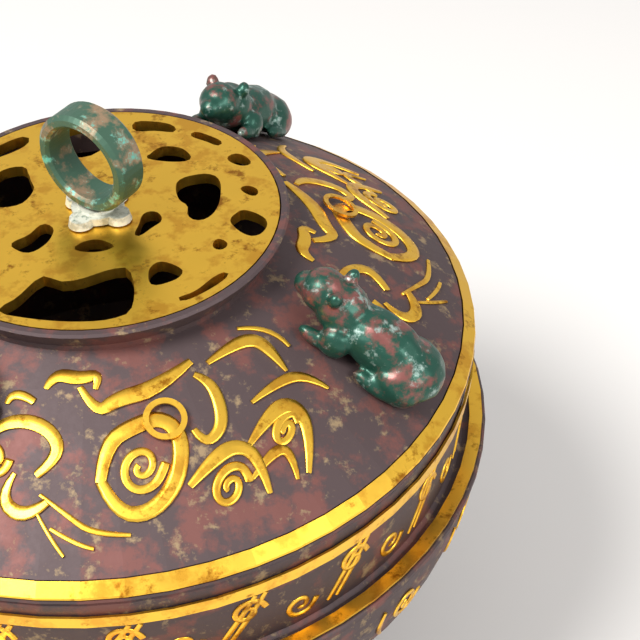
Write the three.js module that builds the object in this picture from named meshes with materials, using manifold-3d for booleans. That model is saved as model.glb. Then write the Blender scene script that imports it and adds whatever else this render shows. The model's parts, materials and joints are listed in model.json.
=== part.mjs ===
// Bronze incense burner: a footed bowl with an inlaid neck, and a lift-off domed lid that carries
// a pierced gilt disc, a ring knop and four crouching beasts. Millimetres, +Z up, soles at z = 0.
import * as THREE from 'three';
import { mergeVertices } from 'three/addons/utils/BufferGeometryUtils.js';
import Module from 'manifold-3d';

const wasm = await Module();
wasm.setup();

// ---- driving dimensions, mm ----
const seatGap = 0.3;          // clearance between pieces that seat on one another
const turnSegments = 60;      // segments round the vessel

const bellyRadius = 77;       // outside of the bowl just under the flange
const bellyDepth = 56;        // flange plane to the bottom of the bowl
const groundClearance = 18;   // soles to the bottom of the bowl
const bowlWall = 3.4;

const flangeRadius = 78;
const flangeThickness = 1.4;
const neckHeight = 22;
const neckFootRadius = 72.6;
const mouthRadius = 74.4;
const mouthInnerRadius = 70.8;

const borderHeight = 2.8;     // gold border under the mouth
const borderDrop = 3.2;       // mouth down to the top of the border
const inlayThickness = 0.5;
const flangeBandWidth = 2.7;

const lidRadius = 75;
const lidGap = 0.8;           // open joint between mouth and lid edge
const lidEdgeHeight = 1;
const lidWall = 2.6;
const rimBandWidth = 2.4;
const rimBandDrop = 2.2;
const shoulderRise = 22.5;    // lid edge to the foot of the collar
const shoulderBulge = 1.6;    // how far the shoulder swells above a straight cone
const collarRadius = 35.6;
const lipRadius = 37.6;
const collarHeight = 5.5;
const skirtClearance = 0.5;
const skirtWall = 2;
const skirtDepth = 5;

const discThickness = 2.4;
const discClearance = 0.3;
const lipWidth = 1.6;

const knopPlateRadius = 5.2;
const knopLobeRadius = 2.6;
const knopPlateThickness = 1.6;
const saddleRadius = 3.6;
const saddleHeight = 2.6;
const ringOuterRadius = 10.5;
const ringThickness = 2.6;
const ringWidth = 7.2;
const ringTurn = -35;         // degrees that the hoop is turned from facing front

const beastCount = 4;
const beastTurn = -27;        // degrees from +X to the first beast
const beastRadius = 57;       // its middle, from the vessel's axis
const beastLength = 34;
const beastWidth = 15;
const beastHeight = 12;

const roundelRadius = 4;
const roundelBand = 1.1;
const roundelTurn = 46;       // degrees from a beast to the roundel beside it
const roundelPlace = 50;      // distance of a roundel from the vessel's axis

const footCount = 3;
const footTurn = -90;
const footPlace = 47;
const footTopRadius = 11;
const footAnkleRadius = 5.4;
const footSoleRadius = 7.6;
const footHeight = 44;

// ---- levels worked out from the sizes above ----
const flangeTop = groundClearance + bellyDepth;
const mouthLevel = flangeTop + neckHeight;
const lidEdge = mouthLevel + lidGap;
const collarFoot = lidEdge + lidEdgeHeight + shoulderRise;
const lipLevel = collarFoot + collarHeight;
const discBottom = lipLevel - discThickness;
const discRadius = lipRadius - lipWidth - discClearance;

const colours = {
  bronze: 0x4a3c3a,
  gilt: 0xd8a93a,
  verdigris: 0x4c6e5a,
  greyBase: 0xb9b8a6,
  beast: 0x2c4a3e,
};

function material(colour, roughness, metalness) {
  return new THREE.MeshStandardMaterial({ color: colour, roughness, metalness });
}

function bronzeMaterial() {
  return material(colours.bronze, 0.55, 0.7);
}

function giltMaterial() {
  return material(colours.gilt, 0.32, 1);
}

// A solid of revolution about Z from [radius, height] points that run anticlockwise.
function turned(points, segments = turnSegments) {
  const outline = points.map(([radius, height]) => new THREE.Vector2(radius, height));
  outline.push(outline[0].clone());
  const lathe = new THREE.LatheGeometry(outline, segments);
  lathe.rotateX(Math.PI / 2);
  return solid(lathe);
}

// A manifold solid from a closed three.js geometry, turned outwards if it is inside out.
function solid(geometry) {
  const bare = geometry.clone();
  bare.deleteAttribute('normal');
  bare.deleteAttribute('uv');
  const merged = mergeVertices(bare, 1e-4);
  const index = Array.from(merged.index.array);
  const kept = [];
  for (let i = 0; i < index.length; i += 3) {
    const [a, b, c] = index.slice(i, i + 3);
    if (a !== b && b !== c && c !== a) {
      kept.push(a, b, c);
    }
  }
  if (signedVolume(merged.attributes.position, kept) < 0) {
    kept.reverse();
  }
  return new wasm.Manifold(new wasm.Mesh({
    numProp: 3,
    vertProperties: new Float32Array(merged.attributes.position.array),
    triVerts: new Uint32Array(kept),
  }));
}

function signedVolume(position, index) {
  const a = new THREE.Vector3();
  const b = new THREE.Vector3();
  const c = new THREE.Vector3();
  let volume = 0;
  for (let i = 0; i < index.length; i += 3) {
    a.fromBufferAttribute(position, index[i]);
    b.fromBufferAttribute(position, index[i + 1]);
    c.fromBufferAttribute(position, index[i + 2]);
    volume += a.dot(b.cross(c)) / 6;
  }
  return volume;
}

function namedMesh(name, shape, look) {
  const cut = shape.getMesh();
  const geometry = new THREE.BufferGeometry();
  geometry.setAttribute('position', new THREE.BufferAttribute(new Float32Array(cut.vertProperties), 3));
  geometry.setIndex(new THREE.BufferAttribute(new Uint32Array(cut.triVerts), 1));
  geometry.computeVertexNormals();
  const mesh = new THREE.Mesh(geometry, look);
  mesh.name = name;
  return mesh;
}

function radians(degrees) {
  return THREE.MathUtils.degToRad(degrees);
}

function ellipsoid(place, size, segments = 14) {
  const ball = new THREE.SphereGeometry(1, segments, Math.round(segments * 0.6));
  ball.scale(size[0], size[1], size[2]);
  ball.translate(place[0], place[1], place[2]);
  return solid(ball);
}

// ---- bowl ----
// Quarter ellipse of the belly from the bottom on the axis to the flange, grown by the given amount.
function bellyArc(grow, steps = 10) {
  const points = [];
  for (let i = 0; i <= steps; i += 1) {
    const angle = (Math.PI / 2) * (i / steps);
    points.push([
      (bellyRadius + grow) * Math.sin(angle),
      flangeTop - flangeThickness - (bellyDepth - flangeThickness + grow) * Math.cos(angle),
    ]);
  }
  return points;
}

function bowlShape() {
  const outside = bellyArc(0);
  const inside = bellyArc(-bowlWall).reverse();
  const throat = mouthInnerRadius - 1;
  return turned([
    ...outside,
    [flangeRadius, flangeTop - flangeThickness],
    [flangeRadius, flangeTop - 0.4],
    [flangeRadius - 0.4, flangeTop],
    [neckFootRadius + 0.8, flangeTop],
    [neckFootRadius, flangeTop + 0.8],
    [mouthRadius, mouthLevel - 0.5],
    [mouthRadius - 0.5, mouthLevel],
    [mouthInnerRadius, mouthLevel],
    [throat, mouthLevel - skirtDepth - 3],
    [throat, flangeTop + 2],
    ...inside.filter(([radius]) => radius < throat),
  ]);
}

// Outside radius of the neck at a level.
function neckRadius(level) {
  const share = (level - flangeTop - 0.8) / (neckHeight - 1.3);
  return neckFootRadius + (mouthRadius - neckFootRadius) * share;
}

function neckBorderShape() {
  const top = mouthLevel - borderDrop;
  const bottom = top - borderHeight;
  const inner = (level) => neckRadius(level) + seatGap;
  return turned([
    [inner(bottom), bottom],
    [inner(bottom) + inlayThickness, bottom],
    [inner(top) + inlayThickness, top],
    [inner(top), top],
  ]);
}

function flangeBandShape() {
  const outer = flangeRadius - 0.7;
  const bottom = flangeTop + seatGap;
  return turned([
    [outer - flangeBandWidth, bottom],
    [outer, bottom],
    [outer, bottom + inlayThickness],
    [outer - flangeBandWidth, bottom + inlayThickness],
  ]);
}

// ---- feet ----
function footShape(turn) {
  const attach = flangeTop - flangeThickness;
  const profile = [
    [0, 0],
    [footSoleRadius - 0.8, 0],
    [footSoleRadius, 0.8],
    [footSoleRadius, 3.2],
    [footSoleRadius - 1.4, 4.6],
    [footAnkleRadius, 11],
    [footAnkleRadius + 0.6, 16],
    [footTopRadius * 0.72, 23],
    [footTopRadius * 0.94, 29],
    [footTopRadius, 34],
    [footTopRadius * 0.8, footHeight - 3],
    [0, footHeight],
  ];
  const leg = turned(profile, 28);
  const across = radians(turn);
  const placed = leg.translate([footPlace * Math.cos(across), footPlace * Math.sin(across), 0]);
  const belly = turned([...bellyArc(seatGap), [0, attach]], turnSegments);
  return placed.subtract(belly);
}

// ---- lid ----
// Height of the shoulder's outside at a radius.
function shoulderLevel(radius) {
  const outer = lidRadius - rimBandWidth;
  const share = (outer - radius) / (outer - collarRadius);
  const start = lidEdge + lidEdgeHeight + rimBandDrop;
  return start + (collarFoot - start) * share + shoulderBulge * Math.sin(Math.PI * share);
}

function shoulderPoints(steps, drop) {
  const outer = lidRadius - rimBandWidth;
  const points = [];
  for (let i = 0; i <= steps; i += 1) {
    const radius = outer + (collarRadius - outer) * (i / steps);
    points.push([radius, shoulderLevel(radius) - drop]);
  }
  return points;
}

function lidShape() {
  const skirtOuter = mouthInnerRadius - skirtClearance - 0.4;
  const skirtInner = skirtOuter - skirtWall;
  const inside = shoulderPoints(5, lidWall + 0.6)
    .filter(([radius]) => radius < skirtInner - 1.5 && radius > collarRadius + 0.5)
    .reverse();
  const seat = discBottom - discClearance;
  const boreRadius = discRadius - 2.2;
  return turned([
    [skirtOuter, mouthLevel - skirtDepth],
    [skirtOuter, lidEdge],
    [lidRadius, lidEdge],
    [lidRadius, lidEdge + lidEdgeHeight - seatGap],
    [lidRadius - rimBandWidth - seatGap, lidEdge + lidEdgeHeight - seatGap],
    ...shoulderPoints(5, 0).map(([radius, level]) => [radius - seatGap, level]),
    [collarRadius - seatGap, collarFoot + 1.2],
    [lipRadius - 0.6, lipLevel - 1.2],
    [lipRadius, lipLevel - 0.5],
    [lipRadius - 0.4, lipLevel],
    [lipRadius - lipWidth, lipLevel],
    [lipRadius - lipWidth, seat],
    [boreRadius, seat],
    [boreRadius, collarFoot - lidWall],
    ...inside,
    [skirtInner, lidEdge + lidEdgeHeight],
    [skirtInner, mouthLevel - skirtDepth],
  ]);
}

function rimBandShape() {
  const bottom = lidEdge + lidEdgeHeight;
  return turned([
    [lidRadius - rimBandWidth, bottom],
    [lidRadius, bottom],
    [lidRadius - 0.1, bottom + 0.4],
    [lidRadius - rimBandWidth, bottom + rimBandDrop],
  ]);
}

// ---- pierced disc ----
// Openings between the dragons and clouds, each a closed curve through [x, y] points in mm from the centre.
const openings = [
  [[-16, -29.5], [-13, -26], [-9, -20], [-5.4, -21.6], [-1.5, -21], [4.6, -18.2], [7.7, -19.7], [8.7, -29],
    [6, -32.6], [-1.5, -33.4], [-11, -31.8]],
  [[11, -20.4], [11.6, -17.6], [13.6, -16.6], [17, -18.8], [17.2, -20.8], [15.4, -22.6], [12, -23.5]],
  [[-16, -9.4], [-13.1, -6.9], [-10.8, -3.6], [-8.6, -4.7], [-8.4, -7.2], [-9.6, -10.3], [-12.1, -12.5],
    [-14.7, -11.6]],
  [[-3.6, -12], [-2.6, -10], [0, -9], [2.4, -9.9], [3.8, -11.6], [0.4, -13]],
  [[8.8, -1.4], [10.6, -0.4], [12.2, -1.6], [12.5, -3.8], [11, -5.6], [8.7, -8.2], [7.6, -7.6], [8.2, -4.6]],
  [[14.8, 7.8], [15.8, 10.3], [18.7, 11.6], [21.6, 11.6], [23.5, 9.4], [23.9, 4.7], [23.3, 0], [21.6, -3.1],
    [19.3, -3.8], [17.6, -2], [17.4, 1], [15.6, 3.4]],
  [[8.5, 17.9], [9.1, 19.7], [11, 21.9], [13.9, 21.9], [16.2, 20.4], [17.4, 17.2], [13.9, 16.4]],
  [[24.9, 17], [26.2, 18.6], [28.2, 18], [29.8, 15.4], [28.6, 14.2], [26.4, 15]],
  [[17.2, 25.6], [18, 27.2], [21, 25.6], [23.6, 23.2], [22.8, 21.8], [20.4, 23.4]],
  [[27.8, 6.3], [29.3, 7.2], [31.2, 5.8], [31, 3.8], [29.3, 4.2]],
  [[26, -4.1], [27.4, -1.6], [28.9, -1], [31.8, -2.8], [33.2, -5.2], [32.6, -8], [31, -9.4], [29.2, -9],
    [27.2, -6.9]],
  [[22.8, -11.6], [23.8, -10], [25.6, -11.4], [25, -13.2], [23.4, -13.2]],
  [[-17, 16.4], [-15.4, 13.6], [-14.6, 11], [-13.7, 8.5], [-14.8, 4.7], [-17, 2.8], [-21, 3], [-23.4, 8],
    [-21.6, 14.6]],
  [[5, 31.6], [9, 31.6], [13, 30], [13.6, 27.4], [9.6, 28], [5.2, 28.4]],
  [[-12, 27], [-8, 31], [-1, 32], [1.6, 28], [-1, 22], [-5, 19], [-10, 21]],
  [[-31, -3], [-27, -3.6], [-21.4, -3.4], [-19.4, -7.6], [-22, -12.4], [-28, -12], [-31.6, -8]],
  [[-27, -17], [-22.6, -16], [-19, -18.4], [-19.6, -23.4], [-23.4, -22.6], [-27, -19.6]],
  [[-27, 18.6], [-23, 19.6], [-17.6, 23.6], [-17, 27], [-20, 26.6], [-25.6, 21.4]],
  [[-32, 2], [-28.6, 1.8], [-27, 6], [-27.4, 11.6], [-30, 11.4], [-31.8, 7]],
  [[17, -27.4], [20, -25.6], [23.6, -21.4], [25.8, -20.4], [25.4, -22.4], [21.6, -26.2], [18, -28.4]],
];

function openworkShape() {
  const plate = new THREE.Shape();
  plate.absarc(0, 0, discRadius, 0, Math.PI * 2, false);
  for (const places of openings) {
    const points = places.map(([x, y]) => new THREE.Vector3(x, y, 0));
    const loop = new THREE.CatmullRomCurve3(points, true, 'catmullrom', 0.6);
    const outline = loop.getSpacedPoints(places.length * 3).slice(0, -1);
    plate.holes.push(new THREE.Path(outline.map((point) => new THREE.Vector2(point.x, point.y))));
  }
  const sheet = new THREE.ExtrudeGeometry(plate, {
    depth: discThickness,
    curveSegments: 36,
    bevelEnabled: false,
  });
  sheet.translate(0, 0, discBottom);
  return solid(sheet);
}

// ---- knop ----
function lyingCylinder(radius, length, segments) {
  const bar = new THREE.CylinderGeometry(radius, radius, length, segments);
  return solid(bar);
}

const ringCentre = lipLevel + seatGap + knopPlateThickness + 0.6 + ringOuterRadius;

function knopBaseShape() {
  const bottom = lipLevel + seatGap;
  const disc = new THREE.CylinderGeometry(knopPlateRadius, knopPlateRadius, knopPlateThickness, 28);
  disc.rotateX(Math.PI / 2);
  disc.translate(0, 0, bottom + knopPlateThickness / 2);
  let base = solid(disc);
  for (let i = 0; i < 4; i += 1) {
    const angle = radians(ringTurn + 90 * i);
    const place = [knopPlateRadius * Math.cos(angle), knopPlateRadius * Math.sin(angle)];
    const lobe = new THREE.CylinderGeometry(knopLobeRadius * 0.85, knopLobeRadius, knopPlateThickness, 18);
    lobe.rotateX(Math.PI / 2);
    lobe.translate(place[0], place[1], bottom + knopPlateThickness / 2);
    base = base.add(solid(lobe));
  }
  const post = new THREE.CylinderGeometry(saddleRadius, saddleRadius + 0.8, saddleHeight, 24);
  post.rotateX(Math.PI / 2);
  post.translate(0, 0, bottom + saddleHeight / 2 + 0.4);
  const hollow = lyingCylinder(ringOuterRadius + seatGap, 40, 48)
    .rotate([0, 0, ringTurn])
    .translate([0, 0, ringCentre]);
  return base.add(solid(post)).subtract(hollow);
}

function knopRingShape() {
  const innerRadius = ringOuterRadius - ringThickness;
  const half = ringWidth / 2;
  const hoop = turned([
    [innerRadius, -half + 0.6],
    [innerRadius + 0.6, -half],
    [ringOuterRadius - 0.8, -half],
    [ringOuterRadius, -half + 0.8],
    [ringOuterRadius, half - 0.8],
    [ringOuterRadius - 0.8, half],
    [innerRadius + 0.6, half],
    [innerRadius, half - 0.6],
  ], 48);
  return hoop.rotate([90, 0, 0]).rotate([0, 0, ringTurn]).translate([0, 0, ringCentre]);
}

// ---- beasts ----
// A crouching beast lies along +X with its head inwards; it is then laid on the shoulder's slope.
function beastShape(turn) {
  const half = beastLength / 2;
  const side = beastWidth / 2;
  const parts = [
    ellipsoid([0.1 * half, 0, 5.6], [half * 0.68, side * 0.82, beastHeight * 0.5], 10),
    ellipsoid([half * 0.52, 0, 5], [half * 0.42, side * 0.98, beastHeight * 0.42], 12),
    ellipsoid([-half * 0.5, 0, 6.6], [half * 0.34, side * 0.7, beastHeight * 0.44], 12),
    ellipsoid([-half * 0.78, 0, 7.4], [half * 0.27, side * 0.6, beastHeight * 0.38], 12),
    ellipsoid([-half * 0.98, 0, 6], [half * 0.16, side * 0.34, beastHeight * 0.22], 8),
  ];
  for (const hand of [-1, 1]) {
    parts.push(ellipsoid([-half * 0.62, hand * side * 0.52, 11], [1.5, 1.5, 1.9], 8));
    parts.push(ellipsoid([half * 0.5, hand * side * 0.72, 3.6], [half * 0.3, side * 0.34, 4], 10));
    parts.push(ellipsoid([half * 0.3, hand * side * 0.9, 1.9], [half * 0.3, side * 0.2, 1.8], 8));
    parts.push(ellipsoid([-half * 0.34, hand * side * 0.74, 3.2], [half * 0.2, side * 0.28, 3.6], 10));
    parts.push(ellipsoid([-half * 0.56, hand * side * 0.8, 1.8], [half * 0.22, side * 0.2, 1.7], 8));
  }
  const beast = parts.reduce((whole, part) => whole.add(part));
  const drop = shoulderLevel(beastRadius - 8) - shoulderLevel(beastRadius + 8);
  const slope = THREE.MathUtils.radToDeg(Math.atan2(drop, 16));
  const ground = shoulderPoints(8, 0).map(([radius, level]) => [radius, level + seatGap]);
  const under = turned([[0, lidEdge], [lidRadius - rimBandWidth, lidEdge], ...ground, [0, collarFoot + seatGap]]);
  return beast
    .rotate([0, slope, 0])
    .translate([beastRadius, 0, shoulderLevel(beastRadius) - 0.8])
    .rotate([0, 0, turn])
    .subtract(under)
    .subtract(collarKeepOut());
}

// The collar and the disc's lip, grown by the clearance, which the beasts stay clear of.
function collarKeepOut() {
  const radius = lipRadius + seatGap;
  return turned([[0, collarFoot - 1], [radius, collarFoot - 1], [radius, lipLevel + 8], [0, lipLevel + 8]]);
}

// ---- roundels ----
function roundelShape(turn) {
  const inner = roundelRadius - roundelBand;
  const band = turned([
    [inner, 0],
    [roundelRadius, 0],
    [roundelRadius, inlayThickness],
    [inner, inlayThickness],
  ], 32);
  const span = roundelRadius;
  const drop = shoulderLevel(roundelPlace - span) - shoulderLevel(roundelPlace + span);
  const slope = THREE.MathUtils.radToDeg(Math.atan2(drop, 2 * span));
  return band
    .rotate([0, slope, 0])
    .translate([roundelPlace, 0, shoulderLevel(roundelPlace) + 0.55])
    .rotate([0, 0, turn]);
}

// ---- assembly ----
const burner = new THREE.Group();
burner.name = 'incense_burner';
burner.add(namedMesh('bowl', bowlShape(), bronzeMaterial()));
burner.add(namedMesh('neck_border_band', neckBorderShape(), giltMaterial()));
burner.add(namedMesh('flange_gilt_band', flangeBandShape(), giltMaterial()));
for (let i = 0; i < footCount; i += 1) {
  burner.add(namedMesh(`foot_${i + 1}`, footShape(footTurn + (360 / footCount) * i), bronzeMaterial()));
}

const lid = new THREE.Group();
lid.name = 'lid';
lid.add(namedMesh('lid_shell', lidShape(), bronzeMaterial()));
lid.add(namedMesh('lid_rim_band', rimBandShape(), giltMaterial()));
lid.add(namedMesh('openwork_disc', openworkShape(), giltMaterial()));
lid.add(namedMesh('knop_base', knopBaseShape(), material(colours.greyBase, 0.6, 0.4)));
lid.add(namedMesh('knop_ring', knopRingShape(), material(colours.verdigris, 0.5, 0.5)));
for (let i = 0; i < beastCount; i += 1) {
  const turn = beastTurn + (360 / beastCount) * i;
  lid.add(namedMesh(`beast_${i + 1}`, beastShape(turn), material(colours.beast, 0.4, 0.6)));
  lid.add(namedMesh(`roundel_${i + 1}`, roundelShape(turn - roundelTurn), giltMaterial()));
}
burner.add(lid);

export default burner;
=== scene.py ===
"""Looks of the bronze incense burner: patinas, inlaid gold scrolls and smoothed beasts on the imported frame."""

import json
import math

import bpy
from mathutils import Matrix, Vector


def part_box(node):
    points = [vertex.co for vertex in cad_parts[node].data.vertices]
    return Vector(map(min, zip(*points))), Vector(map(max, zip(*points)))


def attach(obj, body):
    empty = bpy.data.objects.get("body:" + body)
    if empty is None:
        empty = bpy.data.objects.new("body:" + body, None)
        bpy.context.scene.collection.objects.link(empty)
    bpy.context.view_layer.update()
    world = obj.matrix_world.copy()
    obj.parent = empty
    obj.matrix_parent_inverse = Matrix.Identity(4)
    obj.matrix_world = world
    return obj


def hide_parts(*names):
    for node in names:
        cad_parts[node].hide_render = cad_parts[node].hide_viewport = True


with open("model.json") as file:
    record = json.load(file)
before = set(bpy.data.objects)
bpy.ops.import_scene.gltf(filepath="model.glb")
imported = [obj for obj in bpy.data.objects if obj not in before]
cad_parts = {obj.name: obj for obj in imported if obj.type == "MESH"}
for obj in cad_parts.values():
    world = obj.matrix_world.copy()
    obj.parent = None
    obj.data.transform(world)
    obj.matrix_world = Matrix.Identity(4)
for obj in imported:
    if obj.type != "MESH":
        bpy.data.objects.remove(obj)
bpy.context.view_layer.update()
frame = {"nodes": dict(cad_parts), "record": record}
MM = 0.001

# ---- the vessel's outside, in metres, from the frame where it shows there ----
rim_low, rim_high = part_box("lid_rim_band")
border_low, border_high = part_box("neck_border_band")
flange_low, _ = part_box("flange_gilt_band")

RIM_BAND_WIDTH = 2.4 * MM
SHOULDER_OUTER = rim_high.x - RIM_BAND_WIDTH
SHOULDER_START = rim_high.z
SHOULDER_RISE = 22.5 * MM      # lid edge to the foot of the collar
SHOULDER_BULGE = 1.6 * MM      # swell above a straight cone
COLLAR_RADIUS = 35.6 * MM
COLLAR_FOOT = rim_low.z + SHOULDER_RISE

NECK_FOOT_RADIUS = 72.6 * MM
NECK_TOP_RADIUS = 74.4 * MM
NECK_FOOT = flange_low.z + 0.5 * MM
NECK_TOP = border_high.z + 2.7 * MM

BELLY_RADIUS = 77 * MM
BELLY_DEPTH = 54.6 * MM
BELLY_TOP = flange_low.z - 1.7 * MM

# ---- inlay, in metres where not said otherwise ----
PANELS = 4                     # inlaid panels of the lid, one between each two beasts
STROKE_HALF_WIDTH = 1.3 * MM   # half width of a stroke whose share is 1
INLAY_PROUD = 0.22 * MM
INLAY_DEPTH = 0.35 * MM

NECK_REPEATS = 20
NECK_COMMAS = ((0.25, 1), (0.72, -1))    # place along a repeat, and way round
NECK_COMMA_LIFT = 2.2 * MM
NECK_COMMA_RADIUS_MM = 3.6
NECK_COMMA_SHARE = 0.75
NECK_BARS = (0.0, 0.09)                  # places of the two slanting lines along a repeat
NECK_BAR_LEAN = 0.32

BELLY_REPEATS = 18
BELLY_ROWS_MM = ((9, 4.4), (22, 4.0))    # drop below the flange, and radius of the spirals
BELLY_SPIRAL_SHARE = 0.8

# ---- beasts ----
BEAST_VOXEL = 0.45 * MM
BEAST_SMOOTHING_PASSES = 6
BEAST_SMOOTHING = 0.6

# ---- the photograph's viewpoint, fitted to the lid's edge, the flange and the disc's lip ----
VIEW_ELEVATION = 40.3          # degrees
VIEW_ROLL = -1.8               # degrees
VIEW_DISTANCE = 0.336
VIEW_SIDE = 0.0429             # the camera stands this far right of the vessel's axis
VIEW_LENS_MM = 90.8
SENSOR_MM = 36

# ---- studio ----
FLOOR_SIZE = 6
LIGHT_AIM = Vector((0, 0, 0.08))
# name, place, diameter, watts
LIGHTS = (
    ("key", (-0.35, -0.25, 0.75), 0.35, 9),
    ("fill", (0.6, -0.5, 0.5), 0.5, 4),
)

# Sockets of a colour Mix node, which share their names with its other kinds.
MIX_A = 6
MIX_B = 7
MIX_RESULT = 2


# ---- materials ----
def linear(hex_colour):
    """sRGB hex to a linear RGBA tuple."""
    parts = [int(hex_colour[i:i + 2], 16) / 255 for i in (0, 2, 4)]
    return tuple(c / 12.92 if c <= 0.04045 else ((c + 0.055) / 1.055) ** 2.4 for c in parts) + (1.0,)


def add_node(tree, kind, settings=None, links=None):
    """A node with its settings (input sockets by name or number, or else properties) and its links."""
    node = tree.nodes.new(kind)
    for name, value in (settings or {}).items():
        if isinstance(name, int) or name in node.inputs:
            node.inputs[name].default_value = value
        else:
            setattr(node, name, value)
    for name, source in (links or {}).items():
        tree.links.new(source, node.inputs[name])
    return node


def patinated(name, colours, metallic, roughness, patch_mm=9.0, crust_mm=4.0, relief=0.25):
    """Old cast bronze: a ground colour with broad patches, and small spots of crust over both."""
    ground, patches, crust = (linear(colour) for colour in colours)
    material = bpy.data.materials.new(name)
    material.use_nodes = True
    tree = material.node_tree
    shader = tree.nodes["Principled BSDF"]
    place = add_node(tree, "ShaderNodeTexCoord").outputs["Object"]
    broad = add_node(
        tree, "ShaderNodeTexNoise",
        {"Scale": 1 / (patch_mm * MM), "Detail": 6.0, "Roughness": 0.65}, {"Vector": place},
    ).outputs["Fac"]
    fine = add_node(
        tree, "ShaderNodeTexNoise",
        {"Scale": 1 / (crust_mm * MM), "Detail": 8.0, "Roughness": 0.7}, {"Vector": place},
    ).outputs["Fac"]
    patch_edge = add_node(tree, "ShaderNodeMapRange", {"From Min": 0.5, "From Max": 0.6}, {"Value": broad})
    crust_edge = add_node(tree, "ShaderNodeMapRange", {"From Min": 0.56, "From Max": 0.66}, {"Value": fine})
    patched = add_node(
        tree, "ShaderNodeMix",
        {"data_type": "RGBA", MIX_A: ground, MIX_B: patches}, {"Factor": patch_edge.outputs["Result"]},
    )
    crusted = add_node(
        tree, "ShaderNodeMix",
        {"data_type": "RGBA", MIX_B: crust},
        {"Factor": crust_edge.outputs["Result"], MIX_A: patched.outputs[MIX_RESULT]},
    )
    rough = add_node(
        tree, "ShaderNodeMapRange",
        {"To Min": roughness - 0.1, "To Max": roughness + 0.2}, {"Value": fine},
    )
    bump = add_node(
        tree, "ShaderNodeBump",
        {"Strength": relief, "Distance": 0.2 * MM}, {"Height": fine},
    )
    shader.inputs["Metallic"].default_value = metallic
    tree.links.new(crusted.outputs[MIX_RESULT], shader.inputs["Base Color"])
    tree.links.new(rough.outputs["Result"], shader.inputs["Roughness"])
    tree.links.new(bump.outputs["Normal"], shader.inputs["Normal"])
    return material


LOOKS = {
    # Cast bronze long buried: dull maroon-brown, with brick-red patches and tan specks of crust.
    "bronze": patinated("cast_bronze_buried_patina", ("4A3C3C", "6A423C", "8A7558"), 0.45, 0.55),
    # Fire-gilded bronze: bright warm gold, rubbed to brown-gold in patches.
    "gilt": patinated("fire_gilded_bronze", ("F2C044", "DDA436", "A06A1C"), 1.0, 0.3, 7.0, 5.0, 0.15),
    # Bronze under malachite: dark green, with turquoise bloom and bare beige metal.
    "verdigris": patinated(
        "malachite_patina_bronze", ("3C5A48", "8A7258", "5FB0A0"), 0.4, 0.42, 6.0, 3.0, 0.35),
    # Bronze with a chalky surface: grey-white and matt.
    "grey_base": patinated(
        "pale_corroded_bronze", ("C8C8B8", "9A9A88", "6A7A6A"), 0.3, 0.5, 4.0, 2.5, 0.3),
    # Cast bronze beasts: dark glossy green, with red-brown patches and silvery spots.
    "beast_bronze": patinated(
        "green_patina_beast_bronze", ("1F4A3C", "7A4A44", "8FA39A"), 0.5, 0.3, 6.0, 3.5, 0.4),
}


def paint_frame():
    slots = {part["node"]: part["material_slot"] for part in frame["record"]["subparts"]}
    for name, node in frame["nodes"].items():
        node.data.materials.clear()
        node.data.materials.append(LOOKS[slots[name]])


# ---- places on the vessel's outside ----
def round_axis(radius, angle, level):
    return Vector((radius * math.cos(angle), radius * math.sin(angle), level))


def shoulder_level(radius):
    share = (SHOULDER_OUTER - radius) / (SHOULDER_OUTER - COLLAR_RADIUS)
    cone = SHOULDER_START + (COLLAR_FOOT - SHOULDER_START) * share
    return cone + SHOULDER_BULGE * math.sin(math.pi * share)


def on_shoulder(across_mm, radius_mm, turn):
    """A point of a panel: mm to the right of the near side's middle line, mm from the vessel's axis."""
    radius = radius_mm * MM
    angle = math.radians(-90 + turn) + math.asin(across_mm / radius_mm)
    return round_axis(radius, angle, shoulder_level(radius))


def on_neck(degrees, level):
    share = (level - NECK_FOOT) / (NECK_TOP - NECK_FOOT)
    radius = NECK_FOOT_RADIUS + (NECK_TOP_RADIUS - NECK_FOOT_RADIUS) * share
    return round_axis(radius, math.radians(degrees), level)


def on_belly(degrees, level):
    down = (BELLY_TOP - level) / BELLY_DEPTH
    radius = BELLY_RADIUS * math.sqrt(1 - down * down)
    return round_axis(radius, math.radians(degrees), level)


# ---- inlaid strokes ----
def inlay_curve(name):
    curve = bpy.data.curves.new(name, "CURVE")
    curve.dimensions = "3D"
    curve.bevel_depth = STROKE_HALF_WIDTH
    curve.bevel_resolution = 2
    curve.use_fill_caps = True
    return curve


def stroke(curve, points):
    """Adds one smooth stroke through (place, share of the half width) pairs."""
    spline = curve.splines.new("NURBS")
    spline.points.add(len(points) - 1)
    for knot, (place, share) in zip(spline.points, points):
        knot.co = (*place, 1)
        knot.radius = share
    spline.use_endpoint_u = True
    spline.order_u = 3
    spline.resolution_u = 4


def spiral(place, outer, way, turns=1.6, steps=18):
    """Stroke points that wind inwards. place takes mm along and mm up from the spiral's middle."""
    points = []
    for i in range(steps + 1):
        done = i / steps
        angle = way * turns * 2 * math.pi * done
        reach = outer * (1 - 0.85 * done)
        points.append((place(reach * math.cos(angle), reach * math.sin(angle)), 0.45 + 0.25 * (1 - done)))
    return points


def thinned(points, share):
    return [(place, width * share) for place, width in points]


def inlay_piece(name, curve, body):
    """Turns the strokes into a mesh of its own, which rides on the body."""
    holder = bpy.data.objects.new(name + "_route", curve)
    bpy.context.scene.collection.objects.link(holder)
    bpy.context.view_layer.update()
    shaped = holder.evaluated_get(bpy.context.evaluated_depsgraph_get())
    mesh = bpy.data.meshes.new_from_object(shaped)
    bpy.data.objects.remove(holder)
    mesh.materials.clear()
    mesh.materials.append(LOOKS["gilt"])
    mesh.name = name
    piece = bpy.data.objects.new(name, mesh)
    bpy.context.scene.collection.objects.link(piece)
    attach(piece, body)
    return piece


# Inlay is hammered into its cut and filed flat, so it stands only a little over the ground.
def hammered_flat(value, ground):
    return min(max(value, ground - INLAY_DEPTH), ground + INLAY_PROUD)


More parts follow.
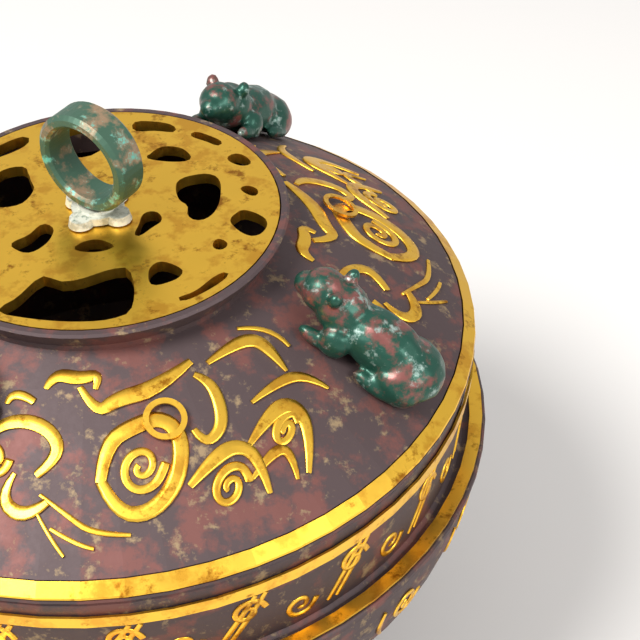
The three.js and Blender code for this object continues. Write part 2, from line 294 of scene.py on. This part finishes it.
def flat_on_shoulder(piece):
    for vertex in piece.data.vertices:
        level = shoulder_level(math.hypot(vertex.co.x, vertex.co.y))
        vertex.co.z = hammered_flat(vertex.co.z, level)


def flat_on_wall(piece, wall):
    """wall gives a point of the neck's or the belly's outside at an angle and a level."""
    for vertex in piece.data.vertices:
        radius = math.hypot(vertex.co.x, vertex.co.y)
        ground = wall(0, vertex.co.z).to_2d().length
        scale = hammered_flat(radius, ground) / radius
        vertex.co.x *= scale
        vertex.co.y *= scale


# Strokes of the near panel, read from the photograph: mm across, mm from the vessel's axis, and
# share of the half width.
PANEL_STROKES = [
    # the S-shaped dragon, and its loop
    [(-0.8, 42, 0.5), (2.3, 47, 0.9), (5.8, 44.5, 1.3), (13, 44, 1.5), (19, 41, 0.6)],
    [(19.6, 43.5, 0.5), (22.5, 45.5, 0.9), (24.5, 50.5, 1.0), (24.5, 54, 0.9), (21.6, 55.5, 0.7),
     (19.6, 52.5, 0.5)],
    # dragon head by the collar
    [(-7, 42.5, 0.4), (-5.5, 39.5, 1.1), (-1, 40.5, 1.2), (3, 39.6, 0.8), (2, 42.5, 0.4)],
    # crescents
    [(22, 42.5, 0.4), (26.4, 41.5, 1.0), (30.3, 42.5, 1.2), (33.5, 46, 1.0), (36.4, 50.5, 0.3)],
    [(27.4, 39.5, 0.3), (33.5, 42.5, 0.5), (37, 47.5, 0.3)],
    # feathers of the tail
    [(29.5, 58, 0.4), (33, 55, 1.1), (37, 55, 1.3), (40.5, 60, 0.9), (40, 66, 0.4)],
    [(30, 63, 0.3), (34, 60, 0.9), (37, 62, 0.7), (38, 66, 0.3)],
    [(30, 52, 0.3), (35, 51, 0.9), (40, 53, 0.8), (44, 57, 0.3)],
    # cloud on the left with its stem and claws
    [(-20, 55, 0.4), (-16, 50, 1.0), (-10, 48, 1.2), (-5, 50, 1.1), (-4, 54, 0.9), (-8, 57, 0.6)],
    [(-12, 57, 0.4), (-15, 61, 0.9), (-10, 64, 1.1), (-6, 61, 0.6)],
    [(-14, 46, 0.4), (-13, 43, 1.0), (-9, 45, 0.6)],
    # whiskers
    [(-7.3, 60, 0.3), (-2.5, 63, 0.4), (2.3, 66, 0.5), (8.7, 66.5, 0.3)],
    [(-5.4, 65, 0.3), (-0.6, 67.5, 0.4), (2.3, 68, 0.3)],
    [(-7.7, 63, 0.25), (-5.4, 66.5, 0.35), (-3, 69, 0.25)],
    # outlines of the lobed cloud and the star cloud
    [(3.3, 58, 0.8), (4, 52, 1.2), (9, 49.6, 1.3), (14, 49, 1.2), (17.7, 53, 1.2), (17, 60, 1.2),
     (12, 64, 1.1), (6, 63, 1.0), (3.3, 58, 0.8)],
    [(19, 61, 0.5), (23, 58, 1.1), (27, 57, 1.1), (31, 60, 1.0), (33, 66, 0.4)],
]
# Spirals of the clouds: mm across, mm from the vessel's axis, outer radius in mm, way round.
PANEL_SPIRALS = [(10.5, 56.5, 4.2, 1), (26, 63, 3.4, -1), (-16, 55, 3.0, 1), (36, 58.5, 2.4, -1)]


def lid_inlay():
    curve = inlay_curve("lid_scroll_inlay")
    for panel in range(PANELS):
        turn = panel * 360 / PANELS
        for points in PANEL_STROKES:
            stroke(curve, [(on_shoulder(x, r, turn), share) for x, r, share in points])
        for x, r, outer, way in PANEL_SPIRALS:
            stroke(curve, spiral(lambda a, b: on_shoulder(x + a, r + b, turn), outer, way))
    flat_on_shoulder(inlay_piece("lid_scroll_inlay", curve, "lid"))


def neck_inlay():
    """A band of comma spirals, one low and one high in each repeat, between slanting double lines."""
    curve = inlay_curve("neck_scroll_inlay")
    step = 360 / NECK_REPEATS
    middle = (NECK_FOOT + border_low.z) / 2
    for i in range(NECK_REPEATS):
        start = i * step
        for along, way in NECK_COMMAS:
            centre = start + along * step
            level = middle + way * NECK_COMMA_LIFT

            def place(a, b):
                return on_neck(centre + math.degrees(a * MM / NECK_FOOT_RADIUS), level + b * MM)

            comma = spiral(place, NECK_COMMA_RADIUS_MM, way, 1.4, 14)
            stroke(curve, thinned(comma, NECK_COMMA_SHARE))
        for along in NECK_BARS:
            low = on_neck(start + along * step, NECK_FOOT + 2 * MM)
            bend = on_neck(start + (along + NECK_BAR_LEAN / 2) * step, middle)
            high = on_neck(start + (along + NECK_BAR_LEAN) * step, border_low.z - 1 * MM)
            stroke(curve, [(low, 0.45), (bend, 0.6), (high, 0.4)])
    flat_on_wall(inlay_piece("neck_scroll_inlay", curve, "vessel"), on_neck)


def belly_inlay():
    """Two staggered rows of spirals, each with a curved stroke beside it."""
    curve = inlay_curve("belly_scroll_inlay")
    step = 360 / BELLY_REPEATS
    for row, (drop_mm, outer) in enumerate(BELLY_ROWS_MM):
        level = BELLY_TOP - drop_mm * MM
        for i in range(BELLY_REPEATS):
            centre = (i + 0.5 * row) * step

            def place(a, b):
                return on_belly(centre + math.degrees(a * MM / BELLY_RADIUS), level + b * MM)

            wound = spiral(place, outer, 1 if i % 2 else -1, 1.7, 16)
            stroke(curve, thinned(wound, BELLY_SPIRAL_SHARE))
            stroke(curve, [(place(-7, 3), 0.3), (place(-9, -2), 0.6), (place(-6, -6), 0.3)])
    flat_on_wall(inlay_piece("belly_scroll_inlay", curve, "vessel"), on_belly)


# ---- beasts ----
def sculpted_beast(node_name):
    """The beast's solid, fused and smoothed into one cast form."""
    mesh = frame["nodes"][node_name].data.copy()
    mesh.name = node_name + "_cast"
    beast = bpy.data.objects.new(node_name + "_cast", mesh)
    bpy.context.scene.collection.objects.link(beast)
    remesh = beast.modifiers.new("fuse", "REMESH")
    remesh.mode = "VOXEL"
    remesh.voxel_size = BEAST_VOXEL
    remesh.use_smooth_shade = True
    smooth = beast.modifiers.new("smooth", "SMOOTH")
    smooth.iterations = BEAST_SMOOTHING_PASSES
    smooth.factor = BEAST_SMOOTHING
    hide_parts(node_name)
    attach(beast, "lid")


# ---- camera, light and floor ----
def camera():
    elevation = math.radians(VIEW_ELEVATION)
    target = Vector((0, 0, rim_low.z))
    back = Vector((0, -math.cos(elevation), math.sin(elevation)))
    level = (-back).to_track_quat("-Z", "Y").to_matrix()
    turn = level @ Matrix.Rotation(math.radians(VIEW_ROLL), 3, "Z")
    place = target + back * VIEW_DISTANCE + turn @ Vector((VIEW_SIDE, 0, 0))
    data = bpy.data.cameras.new("camera")
    data.lens = VIEW_LENS_MM
    data.sensor_width = SENSOR_MM
    data.clip_start = 0.01
    view = bpy.data.objects.new("camera", data)
    view.matrix_world = Matrix.Translation(place) @ turn.to_4x4()
    bpy.context.scene.collection.objects.link(view)
    bpy.context.scene.camera = view


def light(name, place, diameter, watts):
    data = bpy.data.lights.new(name, "AREA")
    data.shape = "DISK"
    data.size = diameter
    data.energy = watts
    lamp = bpy.data.objects.new(name, data)
    lamp.location = place
    lamp.rotation_mode = "QUATERNION"
    lamp.rotation_quaternion = (LIGHT_AIM - Vector(place)).to_track_quat("-Z", "Y")
    bpy.context.scene.collection.objects.link(lamp)


def pale_floor():
    bpy.ops.mesh.primitive_plane_add(size=FLOOR_SIZE)
    floor = bpy.context.object
    floor.name = "floor"
    paper = bpy.data.materials.new("pale_paper_floor")
    paper.use_nodes = True
    sheet = paper.node_tree.nodes["Principled BSDF"]
    sheet.inputs["Base Color"].default_value = linear("D8D5D0")
    sheet.inputs["Roughness"].default_value = 0.9
    floor.data.materials.append(paper)


def soft_sky():
    world = bpy.data.worlds.new("studio")
    world.use_nodes = True
    sky = world.node_tree.nodes["Background"]
    sky.inputs["Color"].default_value = linear("F0F0F4")
    sky.inputs["Strength"].default_value = 0.8
    bpy.context.scene.world = world


def studio():
    pale_floor()
    soft_sky()
    for name, place, diameter, watts in LIGHTS:
        light(name, place, diameter, watts)
    bpy.context.scene.view_settings.view_transform = "Standard"


paint_frame()
lid_inlay()
neck_inlay()
belly_inlay()
for number in range(1, PANELS + 1):
    sculpted_beast(f"beast_{number}")
camera()
studio()
